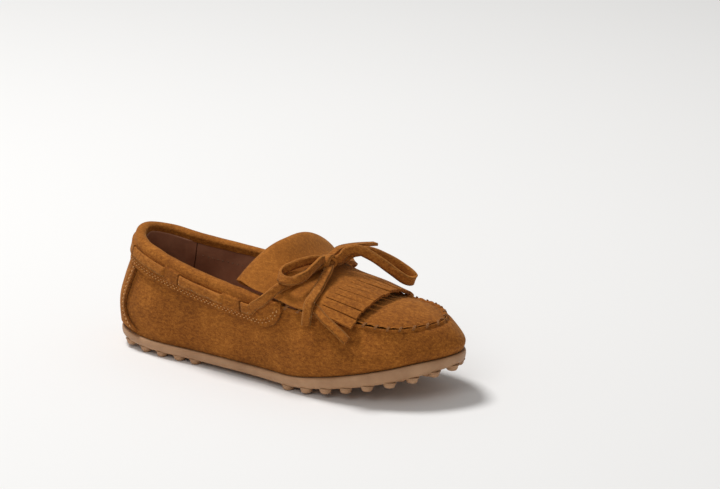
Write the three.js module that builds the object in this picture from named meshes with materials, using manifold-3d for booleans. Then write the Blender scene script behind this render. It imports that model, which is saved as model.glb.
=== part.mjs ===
// A child's right-foot driving moccasin with a fringed kiltie and a lace bow.
// Millimetres. +X points to the toe, +Y to the inner side of the foot, +Z up.
// The origin is under the middle of the shoe, on the surface that its studs stand on.
import * as THREE from 'three';
import { ParametricGeometry } from 'three/addons/geometries/ParametricGeometry.js';
import { mergeVertices } from 'three/addons/utils/BufferGeometryUtils.js';
import Module from 'manifold-3d';

const wasm = await Module();
wasm.setup();

// Driving dimensions
const GAP = 0.3;
const STUD_HEIGHT = 2.6;
const STUD_PITCH = 10.8;
const STUD_SPREAD = 12.2;
const STUD_MARGIN = 3.8;
const TOE_SPRING = 16;
const TOE_SPRING_START = 116;
const HEEL_LIFT = 3.6;
const HEEL_LIFT_LENGTH = 30;
const SIDEWALL_HEEL = 5;
const SIDEWALL_TOE = 7;
const SIDEWALL_TAPER = 1.8;
const UPPER_INSET = 1.2;
const SUEDE = 1.6;
const LINING = 1.0;
const COLLAR_DROP = 13;
const COLLAR_FLAP = 5.5;
const COLLAR_END = 0.294;
const COLLAR_ROUNDING = 0.032;
const LACE_DROP = 6;
const LACE_WIDTH = 5;
const LACE_THICKNESS = 1.5;
const LACE_TUNNEL_RISE = 1.8;
const LACE_TUNNELS = [[-0.066, 0.066], [0.137, 0.16], [0.22, 0.243]];
const SLOT_RAMP = 0.005;
const THREAD_RADIUS = 0.4;
const BOARD_THICKNESS = 1.8;
const SOCK_THICKNESS = 1.0;
const KILTIE_THICKNESS = 1.5;
const FRINGE_SLITS = 11;
const SLIT_WIDTH = 0.7;
const SEAM_STITCH_PITCH = 0.0075;

// The sole's edge and the upper's top edge, both from the back of the heel along the
// outer side to the toe and back along the inner side, at the same sixteen stations.
const SOLE_EDGE = [
  [0, 0], [6, -17.5], [28, -25], [60, -27], [95, -30.5], [127, -35.5], [158, -32.5], [181, -20.5],
  [194.5, 3], [184, 21], [162, 30.5], [133, 33], [100, 28], [62, 24.5], [28, 24], [6, 17],
];
const TOP_EDGE = [
  [9, 0, 60], [15.5, -13.2, 57.2], [35, -20.6, 52.6], [62, -27, 48.6],
  [92, -30.2, 44.8], [120, -30.2, 42], [147, -26, 39.5], [171, -21.5, 38.4],
  [183.7, 1.5, 38.3], [171, 22.8, 37.7], [147, 27.2, 38.9], [120, 29.5, 42],
  [92, 28, 44.8], [62, 25, 48.6], [35, 19.4, 52.6], [15.5, 12.8, 57.2],
];

const curveThrough = (points, closed) => new THREE.CatmullRomCurve3(
  points.map(([x, y, z = 0]) => new THREE.Vector3(x, y, z)), closed, 'catmullrom', 0.5);

const soleEdge = curveThrough(SOLE_EDGE, true);
const topEdge = curveThrough(TOP_EDGE, true);
const wrap = (u) => u - Math.floor(u);
const { lerp, smoothstep, clamp } = THREE.MathUtils;

function soleBottom(x) {
  const toe = Math.max(0, (x - TOE_SPRING_START) / (SOLE_EDGE[8][0] - TOE_SPRING_START));
  const heel = Math.max(0, 1 - x / HEEL_LIFT_LENGTH);
  return STUD_HEIGHT + TOE_SPRING * toe ** 1.4 + HEEL_LIFT * heel ** 2;
}

function soleTop(x) {
  const share = smoothstep(x, 90, 180);
  const taper = SIDEWALL_TAPER * smoothstep(x, 178, 196);
  return soleBottom(x) + lerp(SIDEWALL_HEEL, SIDEWALL_TOE, share) - taper;
}

// The sole's edge at u, moved inwards by inset, in the ground plane.
function edgeInset(u, inset) {
  const point = soleEdge.getPoint(wrap(u));
  const along = soleEdge.getTangent(wrap(u));
  return new THREE.Vector3(point.x - along.y * inset, point.y + along.x * inset, 0);
}

// The outer face of the side wall: v is 0 at the sole and 1 at the top edge.
function wallFace(u, v) {
  const foot = edgeInset(u, UPPER_INSET);
  const heel = smoothstep(foot.x, 0, 35);
  const toe = smoothstep(foot.x, 160, 194);
  const side = edgeInset(u, lerp(1.3, -0.3, heel) + 0.9 * toe);
  const top = topEdge.getPoint(wrap(u));
  const shoulder = side.clone().lerp(top, lerp(0.72, 0.48, toe));
  const base = soleTop(foot.x) + GAP;
  const rise = top.z - base;
  foot.z = base;
  side.z = base + 0.36 * rise;
  shoulder.z = base + 0.78 * rise;
  return new THREE.CatmullRomCurve3([foot, side, shoulder, top], false, 'catmullrom', 0.5).getPoint(v);
}

function wallNormal(u, v) {
  const low = Math.max(0, v - 0.01);
  const high = Math.min(1, v + 0.01);
  const along = wallFace(u + 0.002, v).sub(wallFace(u - 0.002, v));
  const up = wallFace(u, high).sub(wallFace(u, low));
  return along.cross(up).normalize();
}

const wallOffset = (u, v, distance) => wallFace(u, v).addScaledVector(wallNormal(u, v), distance);

// The v at which the wall is the given height below its top edge.
function wallAtDrop(u, drop) {
  const target = topEdge.getPoint(wrap(u)).z - drop;
  let low = 0;
  let high = 1;
  for (let step = 0; step < 18; step += 1) {
    const middle = (low + high) / 2;
    if (wallFace(u, middle).z < target) low = middle;
    else high = middle;
  }
  return high;
}

// Closed geometry: shared vertices merged, collapsed triangles dropped, faces turned outwards.
function closedGeometry(geometry) {
  geometry.deleteAttribute('normal');
  geometry.deleteAttribute('uv');
  const merged = mergeVertices(geometry, 1e-3);
  const position = merged.getAttribute('position');
  const index = merged.getIndex().array;
  const corner = (i) => new THREE.Vector3().fromBufferAttribute(position, i);
  const kept = [];
  let volume = 0;
  for (let i = 0; i < index.length; i += 3) {
    const [a, b, c] = [index[i], index[i + 1], index[i + 2]];
    if (a === b || b === c || c === a) continue;
    kept.push(a, b, c);
    volume += corner(a).dot(corner(b).cross(corner(c)));
  }
  if (volume < 0) kept.reverse();
  merged.setIndex(kept);
  return merged;
}

// A sheet of material between two faces, each given as face(row, column).
// Its ends are 'flat', with a wall closing each, 'pointed', each narrowing to an edge by
// itself, or 'ring', the last row meeting the first.
function sheet(rows, columns, outer, inner, ends = 'flat') {
  const loop = 2 * (columns + 1);
  const cap = ends === 'flat' ? 1 : 0;
  const face = (row, step) => {
    const column = step <= columns ? step : loop - 1 - step;
    return (step <= columns ? outer : inner)(row / rows, column / columns);
  };
  const shape = (u, v, target) => {
    const row = Math.round(u * (rows + 2 * cap)) - cap;
    const step = Math.round(v * loop) % loop;
    const inside = clamp(row, 0, rows);
    const point = face(inside, step);
    if (row !== inside) point.lerp(face(inside, loop - 1 - step), 0.5);
    target.copy(point);
  };
  return closedGeometry(new ParametricGeometry(shape, rows + 2 * cap, loop));
}

// A flat strap along centre points; each station gives its point and its width direction.
function strap(stations, width = LACE_WIDTH, thickness = LACE_THICKNESS) {
  const rows = stations.length - 1;
  const side = (row, column, lift) => {
    const index = Math.round(row * rows);
    const { point, across } = stations[index];
    const before = stations[Math.max(0, index - 1)].point;
    const after = stations[Math.min(rows, index + 1)].point;
    const ahead = after.clone().sub(before).normalize();
    const flat = across.clone().addScaledVector(ahead, -across.dot(ahead)).normalize();
    const up = ahead.clone().cross(flat);
    const crown = 1 - 0.25 * Math.abs(2 * column - 1) ** 3;
    return point.clone().addScaledVector(flat, (column - 0.5) * width).addScaledVector(up, lift * crown);
  };
  return sheet(rows, 2, (r, c) => side(r, c, thickness / 2), (r, c) => side(r, c, -thickness / 2));
}

// Stations of a strap along a curve through points given as [x, y, z, acrossX, acrossY, acrossZ].
function strapStations(points, rows) {
  const centre = curveThrough(points.map((p) => p.slice(0, 3)), false);
  const across = curveThrough(points.map((p) => p.slice(3)), false);
  return Array.from({ length: rows + 1 }, (_, i) => ({
    point: centre.getPoint(i / rows),
    across: across.getPoint(i / rows),
  }));
}

function thread(points, steps) {
  const circle = new THREE.Shape().absarc(0, 0, THREAD_RADIUS, 0, 2 * Math.PI);
  const path = new THREE.CatmullRomCurve3(points, false, 'catmullrom', 0.5);
  return closedGeometry(new THREE.ExtrudeGeometry(circle, {
    extrudePath: path, steps, curveSegments: 2, bevelEnabled: false,
  }));
}

function toManifold(geometry) {
  return new wasm.Manifold(new wasm.Mesh({
    numProp: 3,
    vertProperties: new Float32Array(geometry.getAttribute('position').array),
    triVerts: new Uint32Array(geometry.getIndex().array),
  }));
}

function fromManifold(body) {
  const mesh = body.getMesh();
  const geometry = new THREE.BufferGeometry();
  geometry.setAttribute('position', new THREE.BufferAttribute(mesh.vertProperties, 3));
  geometry.setIndex(new THREE.BufferAttribute(mesh.triVerts, 1));
  return geometry;
}

const joined = (geometries) => geometries.map(toManifold).reduce((sum, body) => sum.add(body));

// Rungs across the sole: row runs heel to toe, column from the outer to the inner side.
function acrossSole(row, column, inset) {
  const u = row / 2;
  return edgeInset(u, inset).lerp(edgeInset(1 - u, inset), column);
}

// Sole
function soleSlab() {
  const side = [[0, 0.35], [0, 0.8], [0.4, 1]];
  const columns = 8;
  const place = (row, step, inset, level) => {
    const point = acrossSole(row, clamp((step - 2) / (columns - 4), 0, 1), inset);
    point.z = lerp(soleBottom(point.x), soleTop(point.x), level);
    return point;
  };
  const upper = (row, column) => {
    const step = Math.round(column * columns);
    const [inset, level] = side[Math.min(step, columns - step, 2)];
    return place(row, step, inset, level);
  };
  const lower = (row, column) => place(row, Math.round(column * columns), 0.9, 0);
  return sheet(40, columns, upper, lower, 'pointed');
}

function stud(x, y) {
  const profile = [[0, 1.2], [3.2, 1.2], [3.1, -1.5], [2.2, -2.6], [0, -2.6]];
  const dome = new THREE.LatheGeometry(profile.map(([r, z]) => new THREE.Vector2(r, z)), 7);
  dome.rotateX(Math.PI / 2);
  dome.translate(x, y, soleBottom(x));
  return closedGeometry(dome);
}

// Where the sole's edge crosses a station x, on the outer or the inner side.
function edgeAt(x, onInnerSide) {
  const edge = (u) => edgeInset(onInnerSide ? 1 - u : u, 0);
  let low = 0;
  let high = 0.5;
  for (let step = 0; step < 18; step += 1) {
    const middle = (low + high) / 2;
    if (edge(middle).x < x) low = middle;
    else high = middle;
  }
  return edge(high).y;
}

// Stud rows across the heel and the forepart, and a row along the edge round the forepart.
function studPlaces() {
  const row = (x, margin) => {
    const from = edgeAt(x, false) + margin;
    const to = edgeAt(x, true) - margin;
    const steps = Math.max(1, Math.round((to - from) / STUD_SPREAD));
    return Array.from({ length: steps + 1 }, (_, i) => [x, from + (to - from) * (i / steps)]);
  };
  const places = [12, 23, 34, 45, 55].flatMap((x) => row(x, STUD_MARGIN));
  for (let x = 115; x < 180; x += STUD_PITCH) places.push(...row(x, STUD_MARGIN + STUD_SPREAD));
  const edge = Array.from({ length: 400 }, (_, i) => edgeInset(lerp(0.24, 0.76, i / 399), STUD_MARGIN));
  let last = new THREE.Vector3();
  for (const point of edge.filter(({ x }) => x >= 115)) {
    if (point.distanceTo(last) < STUD_PITCH) continue;
    places.push([point.x, point.y]);
    last = point;
  }
  return places;
}

function outsole() {
  return fromManifold(joined([soleSlab(), ...studPlaces().map(([x, y]) => stud(x, y))]));
}

function insoleBoard() {
  const level = (height) => (row, column) => {
    const point = acrossSole(row, column, 4);
    point.z = soleTop(point.x) + GAP + height;
    return point;
  };
  return sheet(28, 4, level(BOARD_THICKNESS), level(0), 'pointed');
}

const bedHeight = (x) => soleTop(x) + 2 * GAP + BOARD_THICKNESS;

// How far inside an ellipse centred under the heel a point is: 1 at its centre, 0 at its rim.
function heelShare(x, y, halfLength, halfWidth) {
  return Math.max(0, 1 - ((x - 36) / halfLength) ** 2 - (y / halfWidth) ** 2);
}

function heelCushion() {
  const spot = (row, column) => {
    const angle = Math.PI * row;
    const x = 36 - 26 * Math.cos(angle);
    const y = 14 * Math.sin(angle) * (2 * column - 1);
    return new THREE.Vector3(x, y, bedHeight(x));
  };
  const upper = (row, column) => {
    const point = spot(row, column);
    point.z += 0.6 + 1.4 * heelShare(point.x, point.y, 26, 14);
    return point;
  };
  return sheet(12, 6, upper, spot, 'pointed');
}

function sockLining() {
  const level = (height) => (row, column) => {
    const point = acrossSole(row, column, 5.6);
    point.z = bedHeight(point.x) + height + 2.7 * heelShare(point.x, point.y, 34, 19);
    return point;
  };
  return sheet(28, 6, level(SOCK_THICKNESS), level(0), 'pointed');
}

// Side wall and what lines it. Round the shoe, turn runs from the back of the heel (0)
// to the toe along the outer side (+0.5) or along the inner side (-0.5).
function sideWall() {
  const depth = (distance) => (row, column) => wallOffset(row, column, distance);
  return sheet(80, 6, depth(0), depth(-SUEDE), 'ring');
}

// A layer on the wall between two turns; low and high give its v at a turn, depth its distance.
function wallLayer(turns, rows, columns, low, high, depth, thickness) {
  const place = (extra) => (row, column) => {
    const turn = lerp(turns[0], turns[1], row);
    const v = lerp(low(turn), high(turn), column);
    return wallOffset(turn, v, depth(turn) + extra);
  };
  return sheet(rows, columns, place(0), place(-thickness));
}

const liningTop = (turn) => wallAtDrop(turn, COLLAR_FLAP + 0.7);
const liningFoot = () => 0.15;

function heelLining() {
  const depth = (turn) => {
    const beyond = smoothstep(Math.abs(turn), 0.099, 0.112);
    return lerp(-SUEDE - LINING - 2 * GAP, -SUEDE - GAP, beyond);
  };
  return wallLayer([-0.1125, 0.1125], 18, 4, liningFoot, liningTop, depth, LINING);
}

function quarterLining(side) {
  const depth = () => -SUEDE - GAP;
  return wallLayer([side * 0.1155, side * 0.3], 15, 4, liningFoot, liningTop, depth, LINING);
}

function heelCounter() {
  const high = () => 0.64;
  return wallLayer([-0.0875, 0.0875], 14, 4, liningFoot, high, () => -SUEDE - GAP, LINING);
}

function backstayHalf(v) {
  return 0.08 + 0.036 * Math.max(0, 1 - v / 0.28) ** 2;
}

function heelBackstay() {
  const place = (distance) => (row, column) => {
    const share = 2 * row - 1;
    const v = lerp(0.05, wallAtDrop(0.08 * share, COLLAR_DROP + 0.6), column);
    return wallOffset(backstayHalf(v) * share, v, distance);
  };
  return sheet(24, 6, place(GAP + 1.35), place(GAP + 0.05));
}

function backstayThread() {
  const lift = 2 * GAP + 1.3 + THREAD_RADIUS;
  const drop = COLLAR_DROP + 2.4;
  const side = (share) => (_, i) => {
    const v = lerp(0.06, wallAtDrop(0.072, drop), i / 8);
    return wallOffset((backstayHalf(v) - 0.006) * share, v, lift);
  };
  const across = (_, i) => {
    const turn = 0.072 * (0.8 - i / 5);
    return wallOffset(turn, wallAtDrop(turn, drop), lift);
  };
  const outer = Array.from({ length: 9 }, side(1));
  const inner = Array.from({ length: 9 }, side(-1)).reverse();
  return thread([...outer, ...Array.from({ length: 9 }, across), ...inner], 40);
}

// Collar and lace
function laceHidden(turn) {
  const step = (x) => smoothstep(x, -SLOT_RAMP, SLOT_RAMP);
  const side = Math.abs(turn);
  return Math.max(...LACE_TUNNELS.map(([from, to]) => step(side - from) * step(to - side)));
}

// The height of the collar at a turn; it rounds off towards its front ends.
function collarHeight(turn) {
  const along = (Math.abs(turn) - COLLAR_END + COLLAR_ROUNDING) / COLLAR_ROUNDING;
  return COLLAR_DROP * Math.max(0.25, Math.sqrt(1 - clamp(along, 0, 1) ** 2));
}

// The band runs up the outside, over the wall's top edge and down inside it.
function collarBand() {
  const drops = [1, 0.82, 0.71, 0.46, 0.21, 0.11, 0];
  const raised = [0, 0.1, 1, 1, 1, 0.1, 0];
  const over = [1, 0, -1];
  const flap = [0.5, 1];
  const columns = drops.length + over.length + flap.length - 1;
  const outside = (turn, step, extra) => {
    const rise = LACE_TUNNEL_RISE * raised[step] * laceHidden(turn);
    return wallOffset(turn, wallAtDrop(turn, drops[step] * collarHeight(turn)), GAP + extra + rise);
  };
  const onTop = (turn, side, extra) => {
    const upward = wallFace(turn, 1).sub(wallFace(turn, 0.97)).normalize();
    const reach = side * (SUEDE / 2 + GAP + 0.75 * extra) - SUEDE / 2;
    const lift = GAP + (side === 0 ? 1 : 0.6) * extra;
    return wallOffset(turn, 1, reach).addScaledVector(upward, lift);
  };
  const inside = (turn, share, extra) => {
    const drop = Math.min(COLLAR_FLAP, collarHeight(turn)) * share;
    return wallOffset(turn, wallAtDrop(turn, drop), -SUEDE - GAP - extra);
  };
  const place = (extra) => (row, column) => {
    const turn = lerp(-COLLAR_END, COLLAR_END, row);
    const step = Math.round(column * columns);
    if (step < drops.length) return outside(turn, step, extra);
    if (step < drops.length + over.length) return onTop(turn, over[step - drops.length], extra);
    return inside(turn, flap[step - drops.length - over.length], extra);
  };
  return sheet(60, columns, place(SUEDE), place(0));
}

function laceOnCollar(turn) {
  const outside = 2 * GAP + SUEDE + LACE_THICKNESS / 2;
  const inside = GAP + LACE_THICKNESS / 2;
  const v = wallAtDrop(turn, LACE_DROP);
  return {
    point: wallOffset(turn, v, lerp(outside, inside, laceHidden(turn))),
    across: wallFace(turn, v + 0.03).sub(wallFace(turn, v - 0.03)).normalize(),
  };
}

// The lace from the collar up to the knot, on the outer and the inner side: points and
// width directions.
const OUTER_LEAD = [
  [97.5, -33.9, 41.2, -0.3, -0.2, 0.9], [102, -34.6, 44.2, -0.4, -0.2, 0.8],
  [105.8, -34.3, 47.6, -0.5, -0.4, 0.7], [109.4, -30.6, 51.4, -0.7, -0.4, 0.5],
  [112.6, -24.2, 53.2, -0.9, -0.1, 0.3], [114.8, -18.6, 55, -0.9, 0, 0.2],
  [116.2, -12.6, 56.3, -0.9, 0, 0.1], [117, -7.4, 57.3, -0.9, 0, 0.1],
];
const INNER_LEAD = [
  [98, 33.7, 41.2, -0.3, 0.2, 0.9], [104.5, 34.2, 43.2, -0.4, 0.2, 0.8],
  [110.8, 34.4, 45.8, -0.5, 0.4, 0.7], [115.4, 32.3, 49.3, -0.7, 0.4, 0.5],
  [118, 26, 51.8, -0.9, 0.1, 0.3], [118.8, 19, 54.2, -0.9, 0, 0.2],
  [118.6, 12.4, 56, -0.9, 0, 0.1], [118, 7.2, 57.2, -0.9, 0, 0.1],
];

// The stations that continue the lace from its last one on the collar.
function laceLead({ point, across }, lead) {
  return strapStations([[...point.toArray(), ...across.toArray()], ...lead], 16).slice(1);
}

const laceRound = Array.from(
  { length: 85 }, (_, i) => laceOnCollar(lerp(-0.256, 0.256, i / 84)));

function lace() {
  const outer = laceLead(laceRound[laceRound.length - 1], OUTER_LEAD);
  const inner = laceLead(laceRound[0], INNER_LEAD).reverse();
  return strap([...inner, ...laceRound, ...outer]);
}

function collar() {
  const cutter = strap(laceRound, LACE_WIDTH + 0.4, LACE_THICKNESS + 0.4);
  return fromManifold(toManifold(collarBand()).subtract(toManifold(cutter)));
}

function collarThread() {
  const points = Array.from({ length: 81 }, (_, i) => {
    const turn = lerp(-0.286, 0.286, i / 80);
    return wallOffset(turn, wallAtDrop(turn, 0.92 * collarHeight(turn)), 2 * GAP + SUEDE + THREAD_RADIUS);
  });
  return thread(points, 80);
}

// Apron, from the toe back to under the kiltie
function apron() {
  const columns = [0, 0.04, 0.12, 0.27, 0.5, 0.73, 0.88, 0.96, 1];
  const [tip, back] = [0.496, 0.309];
  const vertical = new THREE.Vector3(0, 0, 1);
  const seam = (u) => {
    const inward = wallFace(u, 1).sub(wallFace(u, 0.97)).normalize();
    return { edge: wallFace(u, 1).addScaledVector(inward, 0.4), normal: wallNormal(u, 1) };
  };
  const tipX = seam(tip).edge.x;
  const place = (depth) => (row, column) => {
    const u = lerp(tip, back, row);
    const [outer, inner] = [seam(u), seam(1 - u)];
    const share = columns[Math.round(column * (columns.length - 1))];
    const point = outer.edge.clone().lerp(inner.edge, share);
    const fromSide = Math.min(share, 1 - share) * outer.edge.distanceTo(inner.edge);
    const fromRim = Math.min(fromSide, tipX - point.x);
    const crown = 4.3 * Math.sin(Math.min(1, row * 1.7) * Math.PI / 2);
    point.z += crown * (1 - (2 * share - 1) ** 2);
    const up = outer.normal.lerp(inner.normal, share).lerp(vertical, smoothstep(fromRim, 0, 3.4));
    return point.addScaledVector(up.normalize(), -depth);
  };
  return sheet(16, columns.length - 1, place(0), place(SUEDE));
}

// The whip-stitch thread crosses the seam to and fro on top of the leather.
function seamThread() {
  const from = 0.3;
  const count = Math.round((1 - 2 * from) / SEAM_STITCH_PITCH);
  const points = Array.from({ length: count + 1 }, (_, i) => {
    const u = lerp(from, 1 - from, i / count);
    const inward = wallFace(u, 1).sub(wallFace(u, 0.97)).normalize();
    return wallOffset(u, 1, GAP + THREAD_RADIUS + 0.1).addScaledVector(inward, i % 2 ? 1.5 : -1.5);
  });
  return thread(points, 2 * count);
}

// Kiltie: centre line [x, z] and edge lines [x, y, z] at the same stations, from the front of
// the upper layer back over the fold to the front of the lower layer.
const KILTIE_CENTRE = [
  [130.7, 50.2], [119, 53.2], [109.5, 59], [102.5, 65.6], [98.2, 68], [95, 66],
  [96.5, 63], [103.5, 58.4], [112, 52.4], [121, 49], [130.6, 47.9],
];
const KILTIE_OUTER_EDGE = [
  [130.7, -31.2, 42.9], [119, -31.8, 44.2], [107, -31, 46.5], [94, -29.2, 48.3],
  [86, -27.2, 50.3], [82.5, -25.6, 49.4], [85, -24.4, 47.5], [94, -23.4, 45.6],
  [105, -22.8, 44.6], [117, -21.6, 45.9], [128.6, -20, 45.6],
];
const KILTIE_INNER_EDGE = [
  [130.7, 30.6, 43.4], [119, 31, 45.2], [110, 30.2, 49.5], [104.5, 28.6, 56.5],
  [100.5, 27.6, 59.5], [98, 26.6, 58], [99, 25.4, 54.5], [102, 24, 49.5],
  [107, 22.8, 46.4], [117, 21.6, 45.9], [128.6, 20, 45.6],
];

// A point of an arch from its centre line to its edges: across runs from -1 to 1.
function archPoint(centre, edge, across, power) {
  const share = Math.abs(across);
  return new THREE.Vector3(
    lerp(centre.x, edge.x, share ** 2),
    edge.y * share,
    lerp(centre.z, edge.z, share ** power));
}

function archedSheet(rows, columns, [centreLine, outerLine, innerLine], power, thickness) {
  const middle = (row, column) => archPoint(
    centreLine.getPoint(row), (column < 0.5 ? outerLine : innerLine).getPoint(row), 2 * column - 1, power);
  const place = (lift) => (row, column) => {
    const step = 0.01;
    const along = middle(Math.min(1, row + step), column).sub(middle(Math.max(0, row - step), column));
    const across = middle(row, Math.min(1, column + step)).sub(middle(row, Math.max(0, column - step)));
    return middle(row, column).addScaledVector(across.cross(along).normalize(), lift);
  };
  return sheet(rows, columns, place(thickness / 2), place(-thickness / 2));
}

function kiltie() {
  const centre = KILTIE_CENTRE.map(([x, z]) => [x, 0, z]);
  const lines = [centre, KILTIE_OUTER_EDGE, KILTIE_INNER_EDGE].map((points) => curveThrough(points, false));
  return archedSheet(22, 10, lines, 2.6, KILTIE_THICKNESS);
}

// The fringe is cut from the same sheet; its outermost strand is splayed over the side wall.
function fringe() {
  const lines = [
    [[131.3, 0, 50.1], [142, 0, 48.3], [152.6, 0, 46.4]],
    [[131.3, -31.2, 42.8], [142, -31.2, 40.9], [152, -31.2, 38.4]],
    [[131.3, 30.6, 43.3], [142, 30.6, 41.2], [152, 30.4, 38.6]],
  ].map((points) => curveThrough(points, false));
  const cutter = (y, width) => {
    const shape = new THREE.BoxGeometry(24, width, 20);
    shape.translate(146, y, 44);
    return toManifold(closedGeometry(shape));
  };
  let flap = toManifold(archedSheet(4, 16, lines, 2.8, KILTIE_THICKNESS));
  for (let i = 1; i <= FRINGE_SLITS; i += 1) {
    flap = flap.subtract(cutter(30 * ((2 * i) / (FRINGE_SLITS + 1) - 1), SLIT_WIDTH));
  }
  const strand = strap(strapStations([
    [131.9, -30, 43.6, 0, 0.7, 0.6], [138, -32.8, 40.9, 0, 0.6, 0.7],
    [145, -34.2, 37.4, 0, 0.6, 0.7], [152, -35.2, 33.2, 0, 0.5, 0.8],
  ], 8), 4.6, KILTIE_THICKNESS);
  return fromManifold(flap.add(toManifold(strand)));
}

// Bow
function knot() {
  const shape = new THREE.SphereGeometry(1, 12, 8);
  shape.scale(5, 6, 3.4);
  shape.rotateZ(0.25);
  shape.translate(119, 0, 58.4);
  return closedGeometry(shape);
}

function outerLoop() {
  return strap(strapStations([
    [116, -7.4, 61.2, 0, 0.3, 0.9], [112.6, -12.5, 60.8, 0, 0.4, 0.9], [109.1, -18.4, 59.4, 0, 0.4, 0.9],
    [107.5, -23.2, 58, 0, 0.4, 0.9], [108.7, -27.8, 56.9, 0, 0.4, 0.9], [113, -30, 56.2, 0, 0.4, 0.9],
    [117.7, -28, 56.2, 0, 0.4, 0.9], [120, -22, 57.4, 0, 0.4, 0.9], [120.4, -15, 59.6, 0, 0.4, 0.9],
    [120.2, -8.4, 61.2, 0, 0.3, 0.9],
  ], 26), 0.92 * LACE_WIDTH);
}

function innerLoop() {
  return strap(strapStations([
    [123.9, 5.4, 60, -0.1, 0.2, 1], [125, 9, 62.6, -0.1, 0.2, 1], [128.7, 13, 63.2, -0.1, 0.2, 1],
    [133.7, 16.5, 60.4, 0, 0.2, 1], [139, 19.5, 56.4, 0.2, 0.2, 1], [144.4, 22.5, 51.8, 0.3, 0.2, 1],
    [149.2, 25, 48, 0.3, 0.2, 1], [151.8, 28, 46.6, 0.3, 0.2, 1], [151.6, 30.8, 47.4, 0.3, 0.2, 1],
    [148.4, 30.6, 50.2, 0.3, 0.2, 1], [141, 27.6, 55.2, 0.2, 0.2, 1], [132, 21.4, 60.4, 0, 0.2, 1],
    [126.6, 14.9, 61, -0.1, 0.2, 1], [123.4, 9.8, 59, -0.1, 0.2, 1], [122.4, 7, 58.2, -0.1, 0.2, 1],
  ], 34), 0.92 * LACE_WIDTH);
}

function outerTail() {
  return strap(strapStations([
    [123.6, -6.9, 56.2, 1, 0.1, 0], [125, -14, 53.4, 1, 0.2, -0.1], [126.8, -22.5, 50.4, 1, 0.3, -0.2],
    [128, -31, 47.4, 0.9, 0.4, -0.2], [128.5, -34.2, 41.8, 0.9, 0.4, -0.2],
    [128.7, -35.4, 37, 0.9, 0.4, -0.1],
  ], 14));
}

function innerTail() {
  return strap(strapStations([
    [118, 7.4, 60.6, 1, -0.2, 0], [118.8, 14, 62.2, 1, -0.25, 0], [121.8, 23.5, 61.8, 1, -0.3, 0],
    [127, 34, 60.6, 1, -0.35, 0.05],
  ], 12));
}

const MATERIALS = {
  suede: { color: 0x9a5a1c, roughness: 0.95 },
  lace: { color: 0x9c601f, roughness: 0.95 },
  leather: { color: 0x6b4228, roughness: 0.6 },
  rubber: { color: 0xa07850, roughness: 0.7 },
  board: { color: 0xb09a78, roughness: 0.9 },
  foam: { color: 0xd8c8a0, roughness: 0.95 },
  thread: { color: 0xc98d4e, roughness: 0.7 },
};

function piece(name, geometry, material) {
  const finish = new THREE.MeshStandardMaterial({ ...MATERIALS[material], metalness: 0 });
  const mesh = new THREE.Mesh(geometry, finish);
  mesh.name = name;
  return mesh;
}

const moccasin = new THREE.Group();
moccasin.add(
  piece('outsole', outsole(), 'rubber'),
  piece('insole_board', insoleBoard(), 'board'),
  piece('heel_cushion', heelCushion(), 'foam'),
  piece('sock_lining', sockLining(), 'leather'),
  piece('side_wall', sideWall(), 'suede'),
  piece('heel_counter', heelCounter(), 'board'),
  piece('heel_lining', heelLining(), 'leather'),
  piece('quarter_lining_outer', quarterLining(1), 'leather'),
  piece('quarter_lining_inner', quarterLining(-1), 'leather'),
  piece('heel_backstay', heelBackstay(), 'suede'),
  piece('backstay_thread', backstayThread(), 'thread'),
  piece('collar', collar(), 'suede'),
  piece('collar_thread', collarThread(), 'thread'),
  piece('apron', apron(), 'suede'),
  piece('apron_seam_thread', seamThread(), 'thread'),
  piece('kiltie', kiltie(), 'suede'),
  piece('kiltie_fringe', fringe(), 'suede'),
  piece('lace', lace(), 'lace'),
  piece('bow_knot', knot(), 'lace'),
  piece('bow_loop_outer', outerLoop(), 'lace'),
  piece('bow_loop_inner', innerLoop(), 'lace'),
  piece('bow_tail_outer', outerTail(), 'lace'),
  piece('bow_tail_inner', innerTail(), 'lace'),
);

const box = new THREE.Box3().setFromObject(moccasin, true);
const middle = box.getCenter(new THREE.Vector3());
moccasin.position.set(-middle.x, -middle.y, -box.min.z);

export default moccasin;
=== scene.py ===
import math

import bpy
import numpy as np
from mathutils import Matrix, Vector


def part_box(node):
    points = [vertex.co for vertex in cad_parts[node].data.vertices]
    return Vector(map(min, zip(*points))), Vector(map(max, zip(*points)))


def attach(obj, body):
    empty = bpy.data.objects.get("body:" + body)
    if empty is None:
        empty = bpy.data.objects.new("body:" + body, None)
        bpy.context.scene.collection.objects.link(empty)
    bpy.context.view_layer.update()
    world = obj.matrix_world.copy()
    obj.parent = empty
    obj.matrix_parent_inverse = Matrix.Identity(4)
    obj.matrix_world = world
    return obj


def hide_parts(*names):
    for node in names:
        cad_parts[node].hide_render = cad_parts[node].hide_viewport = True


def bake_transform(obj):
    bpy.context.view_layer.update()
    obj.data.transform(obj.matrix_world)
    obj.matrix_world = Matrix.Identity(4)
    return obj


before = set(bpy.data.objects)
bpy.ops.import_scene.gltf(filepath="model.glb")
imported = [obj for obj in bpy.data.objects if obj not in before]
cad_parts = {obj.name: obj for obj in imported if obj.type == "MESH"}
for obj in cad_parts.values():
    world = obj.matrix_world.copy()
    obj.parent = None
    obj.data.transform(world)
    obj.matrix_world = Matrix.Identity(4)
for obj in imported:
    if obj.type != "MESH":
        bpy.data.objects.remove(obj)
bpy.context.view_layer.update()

# A child's suede driving moccasin. Lengths are in millimetres in the shoe's own frame, with
# x from the back of the heel to the toe, y to the inner side of the foot and z up. Pieces
# are moved by SHIFT and scaled by MM when they are made, which puts them in the CAD's frame.
MM = 0.001
KNOT = np.array([119.0, 0.0, 58.4])
KNOT_RADII = (4.3, 5.0, 2.5)
SHIFT = np.mean([tuple(corner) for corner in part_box("bow_knot")], axis=0) / MM - KNOT

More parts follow.
